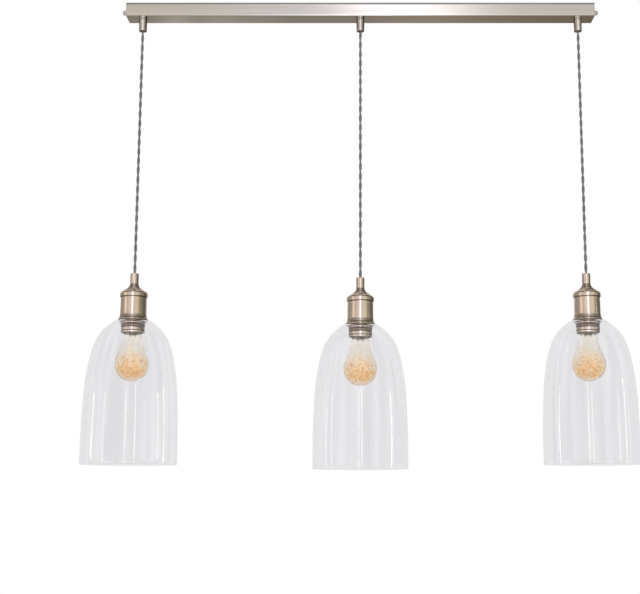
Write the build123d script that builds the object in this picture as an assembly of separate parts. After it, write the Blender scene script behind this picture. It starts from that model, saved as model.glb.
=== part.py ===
from build123d import *
import math
import os

# Linear island pendant: a slim ceiling bar, three twisted fabric flexes and
# three lampholders, each clamping a clear glass cloche around a screw-in lamp.
#
# Frame: origin on the ceiling plane at the middle of the bar, +X along the
# bar, +Y towards the wall behind it, +Z up.  Millimetres.

# ---------------------------------------------------------------- dimensions
BAR_LENGTH = 900.0          # ceiling bar, end face to end face
BAR_DEPTH = 38.0
BAR_HEIGHT = 26.0
BAR_WALL = 1.2
BAR_FOLD_R = 1.5            # outside radius of the long folds

PITCH = 420.0               # pendant to pendant
SIDES = (("left", -PITCH, 476.0), ("centre", 0.0, 484.0), ("right", PITCH, 476.0))
#        name     x       length of flex seen between the two cord grips

BRACKET_WIDTH = 26.0
BRACKET_T = 1.5
SLOT_SPACING = 300.0        # ceiling screw slots, centre to centre
SLOT_LENGTH = 14.0
SLOT_WIDTH = 5.0
CABLE_HOLE_R = 9.0          # supply cable entry in the bracket
CABLE_HOLE_X = 75.0
END_SCREW_Z = -13.0
END_SCREW_R = 1.95          # M4 shank
LUG_HOLE_R = 2.05
LUG_OUT = BAR_LENGTH / 2 - BAR_WALL - 0.2

GRIP_R = 7.5                # cord grips, bar and lampholder alike
BAR_GRIP_LENGTH = 24.5
STEM_R = 4.95               # M10 stems
STEM_HOLE_R = 5.2
FLEX_R = 2.9                # outside of the twisted pair
FLEX_BORE_R = 3.3
NECK_LENGTH = 10.0          # first span of flex below the bar grip

Z_MOUTH = -BAR_HEIGHT - BAR_GRIP_LENGTH      # flex leaves the bar grip here
Z_NECK = Z_MOUTH - NECK_LENGTH

# Lampholder, shade and lamp: heights h are measured downwards from the top
# of the lampholder's own cord grip.
H_FLANGE = 88.0             # underside of the lampholder's flange
SKIRT_R = 19.7              # threaded skirt below the flange
H_SKIRT = 107.0
H_GLASS = 89.0              # top of the glass neck
GLASS_T = 3.0
NECK_HOLE_R = 20.3
H_RIM = 352.0               # lower rim of the glass
RING_BORE_R = 20.0
H_RING = 93.0
H_LIP = 111.4
LAMP_R = 30.9
H_LAMP_MID = 170.1
H_LAMP_TIP = H_LAMP_MID + LAMP_R
H_CONTACT = 84.9

os.makedirs("parts", exist_ok=True)


# ------------------------------------------------------------------- helpers
def save(name, solids):
    """Write one solid, or a group of separate solids, as one sub-part."""
    if not isinstance(solids, (list, tuple)):
        solids = [solids]
    flat = []
    for s in solids:
        flat.extend(s.solids())
    shape = flat[0] if len(flat) == 1 else Compound(children=flat)
    export_step(shape, "parts/%s.step" % name)


def rounded_edges(points):
    """Closed outline in the XZ plane from (r, z, fillet) corners."""
    n = len(points)
    corner = []
    for i in range(n):
        px, pz = points[i - 1][0], points[i - 1][1]
        x, z = points[i][0], points[i][1]
        nx, nz = points[(i + 1) % n][0], points[(i + 1) % n][1]
        rad = points[i][2] if len(points[i]) > 2 else 0.0
        if rad <= 0:
            corner.append(((x, z), None, (x, z)))
            continue
        d1 = (px - x, pz - z)
        d2 = (nx - x, nz - z)
        l1 = math.hypot(*d1)
        l2 = math.hypot(*d2)
        d1 = (d1[0] / l1, d1[1] / l1)
        d2 = (d2[0] / l2, d2[1] / l2)
        half = math.acos(max(-1.0, min(1.0, d1[0] * d2[0] + d1[1] * d2[1]))) / 2
        t = rad / math.tan(half)
        b = (d1[0] + d2[0], d1[1] + d2[1])
        lb = math.hypot(*b)
        dist = rad / math.sin(half) - rad
        mid = (x + b[0] / lb * dist, z + b[1] / lb * dist)
        corner.append(((x + d1[0] * t, z + d1[1] * t), mid, (x + d2[0] * t, z + d2[1] * t)))
    edges = []
    for i in range(n):
        a, m, b = corner[i]
        if m is not None:
            edges.append(ThreePointArc((a[0], 0, a[1]), (m[0], 0, m[1]), (b[0], 0, b[1])))
        nxt = corner[(i + 1) % n][0]
        if math.hypot(nxt[0] - b[0], nxt[1] - b[1]) > 1e-6:
            edges.append(Line((b[0], 0, b[1]), (nxt[0], 0, nxt[1])))
    return edges


def turn_edges(edges):
    """Solid of revolution about Z from a closed outline in the XZ plane."""
    return revolve(Face(Wire(edges)), Axis.Z, 360)


def turned(points):
    return turn_edges(rounded_edges(points))


def arc_chain(knots):
    """Tangent-continuous arcs through (r, h) knots with given directions."""
    arcs = []
    for (p0, t0), (p1, t1) in zip(knots, knots[1:]):
        n0, n1 = math.hypot(*t0), math.hypot(*t1)
        t0 = (t0[0] / n0, t0[1] / n0)
        t1 = (t1[0] / n1, t1[1] / n1)
        v = (p1[0] - p0[0], p1[1] - p0[1])
        vt = v[0] * (t0[0] + t1[0]) + v[1] * (t0[1] + t1[1])
        k = 2 * (1 - t0[0] * t1[0] - t0[1] * t1[1])
        vv = v[0] ** 2 + v[1] ** 2
        d = vv / (2 * vt) if k < 1e-9 else (math.sqrt(vt * vt + k * vv) - vt) / k
        q0 = (p0[0] + d * t0[0], p0[1] + d * t0[1])
        q1 = (p1[0] - d * t1[0], p1[1] - d * t1[1])
        j = ((q0[0] + q1[0]) / 2, (q0[1] + q1[1]) / 2)
        for a, b, t in ((p0, j, t0), (j, p1, (q1[0] - j[0], q1[1] - j[1]))):
            m = math.hypot(*t)
            n = (-t[1] / m, t[0] / m)
            c = (b[0] - a[0], b[1] - a[1])
            r = (c[0] ** 2 + c[1] ** 2) / (2 * (c[0] * n[0] + c[1] * n[1]))
            arcs.append((a, b, (a[0] + r * n[0], a[1] + r * n[1]), r))
    return arcs


def chain_edges(arcs, t=0.0, back=False):
    """Edges of a chain offset by t towards its hollow side."""
    edges = []
    for a, b, c, r in arcs:
        mx, mh = (a[0] + b[0]) / 2 - c[0], (a[1] + b[1]) / 2 - c[1]
        m = math.hypot(mx, mh)
        mid = (c[0] + mx / m * abs(r), c[1] + mh / m * abs(r))
        pts = []
        for p in (a, mid, b):
            pts.append((p[0] + (c[0] - p[0]) / r * t, 0, -(p[1] + (c[1] - p[1]) / r * t)))
        edges.append(ThreePointArc(*(reversed(pts) if back else pts)))
    return list(reversed(edges)) if back else edges


def down(points):
    """Same as turned, with heights given as h, measured downwards."""
    return turned([(p[0], -p[1]) + tuple(p[2:]) for p in points])


def rod(a, b, r):
    """Round rod between two points."""
    va, vb = Vector(*a), Vector(*b)
    d = vb - va
    return Solid.make_cylinder(r, d.length, Plane(origin=va, z_dir=d))


def ball(c, r):
    return Pos(*c) * Sphere(r)


def hex_nut(af, t, hole_r):
    return extrude(RegularPolygon(af / 2, 6, major_radius=False), t) - Cylinder(hole_r, 4 * t)


def place(shape, x, z):
    return shape.moved(Location((x, 0, z)))


# ------------------------------------------------------- bar: cover and bracket
half = BAR_LENGTH / 2
cover = Pos(0, 0, -BAR_HEIGHT / 2) * Box(BAR_LENGTH, BAR_DEPTH, BAR_HEIGHT)
cover = fillet(cover.edges().filter_by(Axis.X).group_by(Axis.Z)[0], BAR_FOLD_R)
cover = fillet(cover.edges().filter_by(lambda e: abs(e.center().X) > half - 0.01
                                       and e.center().Z < -BAR_HEIGHT + 0.01
                                       and e.geom_type == GeomType.LINE), 0.6)
cavity = Pos(0, 0, -(BAR_HEIGHT - BAR_WALL) / 2 + 0.5) * Box(
    BAR_LENGTH - 2 * BAR_WALL, BAR_DEPTH - 2 * BAR_WALL, BAR_HEIGHT - BAR_WALL + 1)
cavity = fillet(cavity.edges().filter_by(Axis.X).group_by(Axis.Z)[0], 0.5)
cover = cover - cavity
for name, x, drop in SIDES:
    cover = cover - Pos(x, 0, -BAR_HEIGHT) * Cylinder(STEM_HOLE_R, 6)
cover = cover - Pos(0, 0, END_SCREW_Z) * Rot(0, 90, 0) * Cylinder(2.3, BAR_LENGTH + 10)
save("canopy_cover", cover)

bracket = Pos(0, 0, -BRACKET_T / 2) * Box(2 * LUG_OUT, BRACKET_WIDTH, BRACKET_T)
for s in (-1, 1):
    bracket = bracket + Pos(s * (LUG_OUT - BRACKET_T / 2), 0, -10) * Box(BRACKET_T, 18, 20)
for s in (-1, 1):
    bracket = bracket - Pos(s * SLOT_SPACING / 2, 0, 0) * extrude(
        SlotOverall(SLOT_LENGTH, SLOT_WIDTH), 10, both=True)
bracket = bracket - Pos(CABLE_HOLE_X, 0, 0) * Cylinder(CABLE_HOLE_R, 10)
bracket = bracket - Pos(-150 + 40, 0, 0) * Cylinder(1.7, 10)      # terminal block screw
bracket = bracket - Pos(130 - 10, 0, 0) * Cylinder(1.95, 10)      # earth screw
bracket = bracket - Pos(0, 0, END_SCREW_Z) * Rot(0, 90, 0) * Cylinder(LUG_HOLE_R, 2 * LUG_OUT + 10)
save("ceiling_bracket", bracket)

# End thumb screws: plain collar and a straight-knurled head.
WASHER_T = 0.8
KNURL_N = 18


def end_screw():
    # along +X, x = 0 at the washer's outer face, head outwards
    pts = []
    for i in range(2 * KNURL_N):
        r = 4.3 if i % 2 == 0 else 3.95
        a = math.pi * i / KNURL_N
        pts.append((r * math.cos(a), r * math.sin(a)))
    head = extrude(make_face(Polyline(*pts, close=True)), 6.4)
    crown = turned([(0, -1), (4.35, -1), (4.35, 5.7), (3.6, 6.4), (0, 6.4)])
    head = Pos(0, 0, 1.8) * (head & crown)
    collar = Pos(0, 0, 0.9) * Cylinder(2.9, 1.8)
    shank = Pos(0, 0, -5.4) * Cylinder(END_SCREW_R, 10.8)
    tip = Pos(0, 0, -10.8) * Cone(1.35, END_SCREW_R, 0.8, align=(Align.CENTER, Align.CENTER, Align.MAX))
    return head + collar + shank + tip


screw = end_screw()
washer = Cylinder(3.9, WASHER_T) - Cylinder(2.15, 4)
for s, name in ((1, "right"), (-1, "left")):
    turn = Rot(0, 90 * s, 0)
    save("end_washer_" + name, Pos(s * (half + WASHER_T / 2), 0, END_SCREW_Z) * turn * washer)
    save("end_screw_" + name, Pos(s * (half + WASHER_T), 0, END_SCREW_Z) * turn * screw)

# ------------------------------------------------------- bar: cord grips
grip = turned([
    (FLEX_BORE_R, -18.0, 0.4), (STEM_R, -18.0, 0.5), (STEM_R, -BAR_HEIGHT),
    (GRIP_R, -BAR_HEIGHT, 0.25), (GRIP_R, Z_MOUTH, 0.8), (4.8, Z_MOUTH, 0.5),
    (4.8, -30.0), (FLEX_BORE_R, -30.0)])
insert = turned([(4.8, -30.0), (4.8, -46.4, 0.6), (2.95, -46.4, 0.6), (2.95, -30.0)])
nut = Pos(0, 0, -BAR_HEIGHT + BAR_WALL + 0.8) * hex_nut(14.0, 4.0, STEM_R)
star = Pos(0, 0, -BAR_HEIGHT + BAR_WALL + 0.4) * (Cylinder(7.6, 0.8) - Cylinder(STEM_R, 4))
for name, x, drop in SIDES:
    save("cord_grip_" + name, place(grip, x, 0))
save("grip_inserts", [place(insert, x, 0) for _, x, _ in SIDES])
save("grip_nuts", [place(p, x, 0) for _, x, _ in SIDES for p in (nut, star)])

# ------------------------------------------------------- bar: wiring
BLOCK_X = -110.0
BLOCK = (34.0, 20.0, 14.0)
POLES = (-6.0, 0.0, 6.0)
BLOCK_Z = -BRACKET_T - BLOCK[2] / 2
block = Pos(BLOCK_X, 0, BLOCK_Z) * Box(*BLOCK)
block = fillet(block.edges().filter_by(Axis.Z), 1.0)
for y in POLES:
    block = block - Pos(BLOCK_X, y, BLOCK_Z) * Rot(0, 90, 0) * Cylinder(2.0, 60)
    for dx in (-10.0, 10.0):
        block = block - Pos(BLOCK_X + dx, y, BLOCK_Z - 4) * Cylinder(1.7, 8)
block = block - Pos(BLOCK_X, 0, BLOCK_Z) * Cylinder(1.7, 60)
save("terminal_block", block)
tscrews = []
for y in POLES:
    for dx in (-10.0, 10.0):
        s = Pos(BLOCK_X + dx, y, BLOCK_Z - 3.6) * Cylinder(1.7, 5.0)
        s = s - Pos(BLOCK_X + dx, y, BLOCK_Z - 6.1) * Box(4, 0.7, 1.2)
        tscrews.append(s)
fix = Pos(BLOCK_X, 0, -8) * Cylinder(1.45, 16) + Pos(BLOCK_X, 0, -BRACKET_T - BLOCK[2] - 0.9) * Cylinder(2.8, 1.8)
tscrews.append(fix)
save("terminal_screws", tscrews)

earth = Pos(120, 0, -4.5) * Cylinder(1.9, 9.0) + Pos(120, 0, -10.2) * Cylinder(3.6, 2.4)
earth = earth - Pos(120, 0, -11.4) * Box(9, 0.9, 1.6)
ear = Pos(120, 0, -8.6) * (Cylinder(4.2, 0.8) - Cylinder(1.95, 4))
nut4 = Pos(120, 0, -4.7) * hex_nut(7.0, 3.2, 1.9)
save("earth_screw", [earth, ear, nut4])


def tube(points, r, radii):
    """Round tube along straight runs joined by tangent arcs."""
    path = FilletPolyline(*points, radius=radii)
    start = path.edges().sort_by_distance(Vector(*points[0]))[0]
    d = Vector(*points[1]) - Vector(*points[0])
    profile = Plane(origin=Vector(*points[0]), z_dir=d) * Circle(r)
    return sweep(profile, path=path), path.length


Z_TAIL = Z_MOUTH + 3.3
tails = []
for name, pts in (
        ("left", [(-420, 0, Z_TAIL), (-420, 0, -8.4), (-345, 8, -9), (-262, 13, -11), (-180, 12.5, -10),
                  (-128, 6, -8.5)]),
        ("centre", [(0, 0, Z_TAIL), (0, 0, -8.4), (-45, -7.5, -8.9), (-92, -6, -8.5)]),
        ("right", [(420, 0, Z_TAIL), (420, 0, -8.4), (345, 8, -10), (262, 12.5, -14), (170, 14, -13),
                   (80, 14.2, -15), (10, 13.4, -13), (-45, 9, -9.6), (-92, 6, -8.5)])):
    radii = []
    for i in range(1, len(pts) - 1):
        a, b, c = Vector(*pts[i - 1]), Vector(*pts[i]), Vector(*pts[i + 1])
        turn_deg = (b - a).get_angle(c - b)
        run = min((b - a).length, (c - b).length)
        rad = 0.45 * run / math.tan(math.radians(turn_deg / 2))
        radii.append(min(rad, 10.0) if i == 1 else rad)
    solid, length = tube(pts, FLEX_R, radii)
    tails.append(solid)
    print("flex tail", name, "length %.1f" % length, "radii", ["%.1f" % v for v in radii],
          "volume ratio %.4f" % (solid.volume / (math.pi * FLEX_R ** 2 * length)))
save("flex_tails", tails)

# ------------------------------------------------------- hanging flex
cup = math.sqrt(2.98 ** 2 - 1.3 ** 2)
neck = Pos(0, 0, Z_MOUTH) * Sphere(FLEX_R) + Pos(0, 0, Z_MOUTH) * Cylinder(
    FLEX_R, NECK_LENGTH - 1.3, align=(Align.CENTER, Align.CENTER, Align.MAX))
neck = neck - Pos(0, 0, Z_NECK) * Sphere(2.98)
for name, x, drop in SIDES:
    save("flex_neck_" + name, place(neck, x, 0))
    run = drop - NECK_LENGTH + 12.0
    flex = Sphere(FLEX_R) + Cylinder(FLEX_R, run, align=(Align.CENTER, Align.CENTER, Align.MAX))
    save("flex_" + name, place(flex, x, Z_NECK))
    print("hanging flex", name, "seen %.0f" % drop, "with both ends inside the grips %.0f"
          % (drop + FLEX_R + 12.0))

# ------------------------------------------------------- lampholder
h_grip = down([
    (FLEX_BORE_R, 0, 0.4), (GRIP_R, 0, 0.8), (GRIP_R, 20.5, 5.0), (10.2, 27.0, 0.4),
    (12.0, 27.0, 0.7), (12.0, 30.0, 0.4), (STEM_R, 30.0), (STEM_R, 38.0, 0.5),
    (FLEX_BORE_R, 38.0, 0.4)])

h_cap = down([
    (5.1, 30.0), (16.6, 30.0, 1.0), (19.4, 32.6, 1.6), (23.6, 35.8, 1.4), (23.9, 37.2, 0.3),
    (25.4, 37.6, 1.2), (25.4, 44.6, 1.2), (23.7, 45.0), (22.5, 45.0), (22.5, 53.0, 0.3),
    (21.2, 53.0, 0.3), (21.2, 37.6, 2.0), (16.0, 31.6, 1.5), (5.1, 31.6)])

h_shell = down([
    (23.8, 45.0, 0.2), (23.8, 50.0), (24.15, 77.0, 6.0), (24.4, 79.4), (24.05, 79.8),
    (24.05, 80.3), (24.9, 80.7), (25.1, 82.2), (24.8, 82.6), (24.8, 83.1), (25.6, 83.5),
    (27.4, 86.3, 0.5), (27.4, H_FLANGE, 0.4), (SKIRT_R, H_FLANGE),
    (SKIRT_R, 90.4), (18.95, 91.0), (18.95, 92.2), (SKIRT_R, 92.8),
    (SKIRT_R, 95.0), (18.95, 95.6), (18.95, 96.8), (SKIRT_R, 97.4),
    (SKIRT_R, 99.6), (18.95, 100.2), (18.95, 101.4), (SKIRT_R, 102.0),
    (SKIRT_R, H_SKIRT, 0.5), (18.2, H_SKIRT, 0.4), (18.2, 86.4), (22.55, 86.4, 0.6), (22.55, 45.0)])

# Insulating core: upper wiring disc, socket barrel below.
h_core = down([
    (3.6, 58.0), (22.0, 58.0, 0.5), (22.0, 64.0, 0.5), (17.9, 64.0), (17.9, 104.0, 0.5),
    (14.2, 104.0, 0.4), (14.2, 78.0), (3.6, 78.0)])
for a in (0, 180):
    h_core = h_core - Pos(13 * math.cos(math.radians(a)), 13 * math.sin(math.radians(a)), -60) * Cylinder(1.8, 6)

# Brass contacts: screw shell with an annular thread, and the sprung centre
# tongue that the lamp's tip presses on.
pts = [(14.1, 78.4), (14.1, 103.0), (13.55, 103.0)]
h = 101.0
while h > 82.0:
    pts += [(13.55, h), (13.8, h - 0.9), (13.8, h - 1.7), (13.55, h - 2.6)]
    h -= 3.6
pts += [(13.55, 79.0), (9.0, 79.0), (9.0, 78.4)]
shell = down(pts)
tongue = Pos(0, 0, -79.2) * Box(6.0, 5.0, 0.5) + Pos(0, 0, -80.6) * Cylinder(2.5, 2.8) \
    + Pos(0, 0, -83.3) * Cylinder(1.8, 3.0)
for name, x, drop in SIDES:
    top = Z_MOUTH - drop
    save("holder_grip_" + name, place(h_grip, x, top))
    save("holder_cap_" + name, place(h_cap, x, top))
    save("holder_shell_" + name, place(h_shell, x, top))
    save("holder_core_" + name, place(h_core, x, top))
    save("holder_contacts_" + name, [place(shell, x, top), place(tongue, x, top)])

# ------------------------------------------------------- shade, gaskets, ring
bell = arc_chain([
    ((30.5, H_GLASS), (1.0, 0.0)), ((42.6, 96.7), (1.0, 0.80)), ((56.0, 110.0), (0.80, 1.0)),
    ((66.0, 126.0), (0.45, 1.0)), ((71.9, 142.5), (0.30, 1.0)), ((77.9, 169.5), (0.165, 1.0)),
    ((82.9, 206.0), (0.095, 1.0)), ((85.2, 244.0), (0.042, 1.0)), ((87.0, 320.0), (0.0, 1.0))])
k = 0.8 * (1 - math.sqrt(0.5))
glass = turn_edges(
    chain_edges(bell)
    + [Line((87.0, 0, -320.0), (87.0, 0, -(H_RIM - 1.5))),
       ThreePointArc((87.0, 0, -(H_RIM - 1.5)), (85.5, 0, -H_RIM), (84.0, 0, -(H_RIM - 1.5))),
       Line((84.0, 0, -(H_RIM - 1.5)), (84.0, 0, -320.0))]
    + chain_edges(bell, GLASS_T, True)
    + [Line((30.5, 0, -H_GLASS - GLASS_T), (NECK_HOLE_R + 0.8, 0, -H_GLASS - GLASS_T)),
       ThreePointArc((NECK_HOLE_R + 0.8, 0, -H_GLASS - GLASS_T),
                     (NECK_HOLE_R + k, 0, -H_GLASS - GLASS_T + k),
                     (NECK_HOLE_R, 0, -H_GLASS - GLASS_T + 0.8)),
       Line((NECK_HOLE_R, 0, -H_GLASS - GLASS_T + 0.8), (NECK_HOLE_R, 0, -H_GLASS - 0.8)),
       ThreePointArc((NECK_HOLE_R, 0, -H_GLASS - 0.8), (NECK_HOLE_R + k, 0, -H_GLASS - k),
                     (NECK_HOLE_R + 0.8, 0, -H_GLASS)),
       Line((NECK_HOLE_R + 0.8, 0, -H_GLASS), (30.5, 0, -H_GLASS))])

gaskets = [down([(20.4, H_FLANGE), (26.6, H_FLANGE), (26.6, H_GLASS), (20.4, H_GLASS)]),
           down([(20.4, H_GLASS + GLASS_T), (23.0, H_GLASS + GLASS_T), (23.0, H_RING), (20.4, H_RING)])]

ring = down([
    (RING_BORE_R, H_RING), (22.4, H_RING, 0.5), (22.4, 96.2, 0.8), (21.2, 96.6, 0.2), (21.2, 97.6, 0.2),
    (21.9, 98.0, 0.8), (21.9, 100.5, 0.8), (21.2, 100.9, 0.2), (21.2, 101.8, 0.2),
    (21.9, 102.2, 0.8), (21.9, 107.4, 0.8), (21.2, 107.8, 0.2), (21.2, 108.5, 0.2),
    (22.0, 108.9, 0.9), (22.0, H_LIP, 1.0), (18.7, H_LIP, 0.8), (18.7, 109.0, 0.4), (RING_BORE_R, 108.6)])
for name, x, drop in SIDES:
    top = Z_MOUTH - drop
    save("shade_gaskets_" + name, [place(g, x, top) for g in gaskets])
    save("glass_shade_" + name, place(glass, x, top))
    save("shade_ring_" + name, place(ring, x, top))

# ------------------------------------------------------- lamp
tip = [down([(0, H_CONTACT), (3.2, H_CONTACT, 0.6), (4.6, 86.6, 0.3), (4.6, 87.4), (0, 87.4)]),
       down([(0, 87.4), (5.2, 87.4, 0.3), (9.6, 90.4, 0.4), (11.2, 91.6), (0, 91.6)])]

pts = [(9.0, 91.6), (11.9, 91.6), (12.4, 93.0)]
h = 94.0
while h < 108.0:
    pts += [(12.4, h), (13.15, h + 1.1), (13.15, h + 1.9), (12.4, h + 3.0)]
    h += 3.63
pts += [(12.4, 109.4), (13.7, 110.4, 0.4), (13.7, 111.6), (12.9, 111.6), (12.0, 110.2),
        (11.8, 93.4, 0.5), (9.0, 92.4)]
lamp_cap = down(pts)

LAMP_T = 0.8
pear = arc_chain([
    ((11.6, 110.2), (0.0, 1.0)), ((16.4, 116.2), (0.42, 1.0)), ((17.9, 126.0), (0.03, 1.0)),
    ((21.6, 142.0), (0.39, 1.0)), ((28.2, 156.6), (0.375, 1.0)), ((LAMP_R, H_LAMP_MID), (0.0, 1.0))])
r_in = LAMP_R - LAMP_T
bulb_glass = turn_edges(
    [Line((11.6, 0, -105.0), (11.6, 0, -110.2))] + chain_edges(pear)
    + [ThreePointArc((LAMP_R, 0, -H_LAMP_MID),
                     (LAMP_R * math.sqrt(0.5), 0, -H_LAMP_MID - LAMP_R * math.sqrt(0.5)),
                     (0, 0, -H_LAMP_TIP)),
       Line((0, 0, -H_LAMP_TIP), (0, 0, -H_LAMP_TIP + LAMP_T)),
       ThreePointArc((0, 0, -H_LAMP_TIP + LAMP_T),
                     (r_in * math.sqrt(0.5), 0, -H_LAMP_MID - r_in * math.sqrt(0.5)),
                     (r_in, 0, -H_LAMP_MID))]
    + chain_edges(pear, LAMP_T, True)
    + [Line((11.6 - LAMP_T, 0, -110.2), (11.6 - LAMP_T, 0, -105.0)),
       Line((11.6 - LAMP_T, 0, -105.0), (11.6, 0, -105.0))])

stem = down([(0, 108.0), (8.6, 108.0, 0.6), (8.6, 111.0, 2.0), (4.2, 122.0, 3.0), (3.4, 131.0, 1.5),
             (1.9, 134.0, 0.6), (1.9, 143.6, 0.4), (2.9, 144.2, 0.9), (2.9, 147.6, 0.9), (0, 147.6)])

# Zigzag filament hung between upper and lower support points.
LEGS = 7
WIRE_R = 0.35
knots = []
for i in range(LEGS * 2 + 1):
    a = math.radians(200 + 320.0 * i / (LEGS * 2))
    r, h = (9.5, 153.0) if i % 2 == 0 else (15.5, 181.0)
    knots.append((r * math.cos(a), r * math.sin(a), -h))
wire = ball(knots[0], WIRE_R)
for a, b in zip(knots, knots[1:]):
    wire = wire + rod(a, b, WIRE_R) + ball(b, WIRE_R)
for k in (knots[0], knots[-1]):
    foot = (3.35 * k[0] / 9.5, 3.35 * k[1] / 9.5, -132.2)
    bend = (5.4 * k[0] / 9.5, 5.4 * k[1] / 9.5, -139.0)
    wire = wire + rod(foot, bend, WIRE_R) + ball(bend, WIRE_R) + rod(bend, k, WIRE_R)
supports = []
for i in range(2, LEGS * 2 - 1, 2):
    k = knots[i]
    n = math.hypot(k[0], k[1])
    supports.append(rod((3.1 * k[0] / n, 3.1 * k[1] / n, -146.2), (8.9 * k[0] / n, 8.9 * k[1] / n, -152.3), 0.25))
wire_set = [wire] + supports
for name, x, drop in SIDES:
    top = Z_MOUTH - drop
    save("bulb_tip_" + name, [place(p, x, top) for p in tip])
    save("bulb_cap_" + name, place(lamp_cap, x, top))
    save("bulb_glass_" + name, place(bulb_glass, x, top))
    save("bulb_stem_" + name, place(stem, x, top))
    save("filament_" + name, [place(p, x, top) for p in wire_set])
    print(name, "grip top z %.1f" % top, "rim z %.1f" % (top - H_RIM))
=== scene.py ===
import math
import bpy
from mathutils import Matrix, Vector, noise


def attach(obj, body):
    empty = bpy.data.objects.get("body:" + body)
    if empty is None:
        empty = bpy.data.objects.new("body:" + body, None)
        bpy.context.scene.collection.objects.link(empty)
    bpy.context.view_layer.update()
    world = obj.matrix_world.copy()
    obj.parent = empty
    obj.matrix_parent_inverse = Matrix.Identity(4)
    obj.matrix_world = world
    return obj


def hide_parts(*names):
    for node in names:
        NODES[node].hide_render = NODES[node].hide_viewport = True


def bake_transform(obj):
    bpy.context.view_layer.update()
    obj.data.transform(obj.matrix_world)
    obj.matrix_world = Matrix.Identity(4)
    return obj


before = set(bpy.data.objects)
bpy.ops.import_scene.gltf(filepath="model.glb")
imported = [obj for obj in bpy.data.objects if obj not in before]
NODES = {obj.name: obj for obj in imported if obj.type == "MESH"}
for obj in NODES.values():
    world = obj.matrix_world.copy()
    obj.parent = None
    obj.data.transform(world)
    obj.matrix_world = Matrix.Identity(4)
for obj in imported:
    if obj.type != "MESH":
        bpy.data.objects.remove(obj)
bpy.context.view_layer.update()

SCENE = bpy.context.scene
MM = 0.001

# name, x of the pendant, z of the top of its lampholder's cord grip (metres)
SIDES = (("left", -0.420, -0.5265), ("centre", 0.0, -0.5345), ("right", 0.420, -0.5265))

# ------------------------------------------------------------------- camera
cam_data = bpy.data.cameras.new("view_camera")
cam = bpy.data.objects.new("view_camera", cam_data)
SCENE.collection.objects.link(cam)
cam_data.sensor_width = 36.0
cam_data.lens = 64.125
cam_data.shift_x = -0.0631
cam_data.shift_y = 0.0006
cam_data.clip_start, cam_data.clip_end = 0.05, 60.0
cam.location = (0.0, -2.085, -0.9231)
cam.rotation_euler = (math.radians(90 + 9.58), 0.0, 0.0)
SCENE.camera = cam
SCENE.view_settings.view_transform = "Standard"
SCENE.view_settings.look = "None"


# ------------------------------------------------------------------- helpers
def link(obj):
    SCENE.collection.objects.link(obj)
    return obj


def mesh_object(name, verts, faces, uvs=None, sharp=None):
    mesh = bpy.data.meshes.new(name)
    mesh.from_pydata(verts, [], faces)
    if uvs is not None:
        layer = mesh.uv_layers.new(name="UVMap")
        for poly in mesh.polygons:
            for li in poly.loop_indices:
                layer.data[li].uv = uvs[poly.index][li - poly.loop_start]
    mesh.shade_smooth()
    if sharp is not None:
        mesh.set_sharp_from_angle(angle=math.radians(sharp))
    mesh.validate()
    return link(bpy.data.objects.new(name, mesh))


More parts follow.
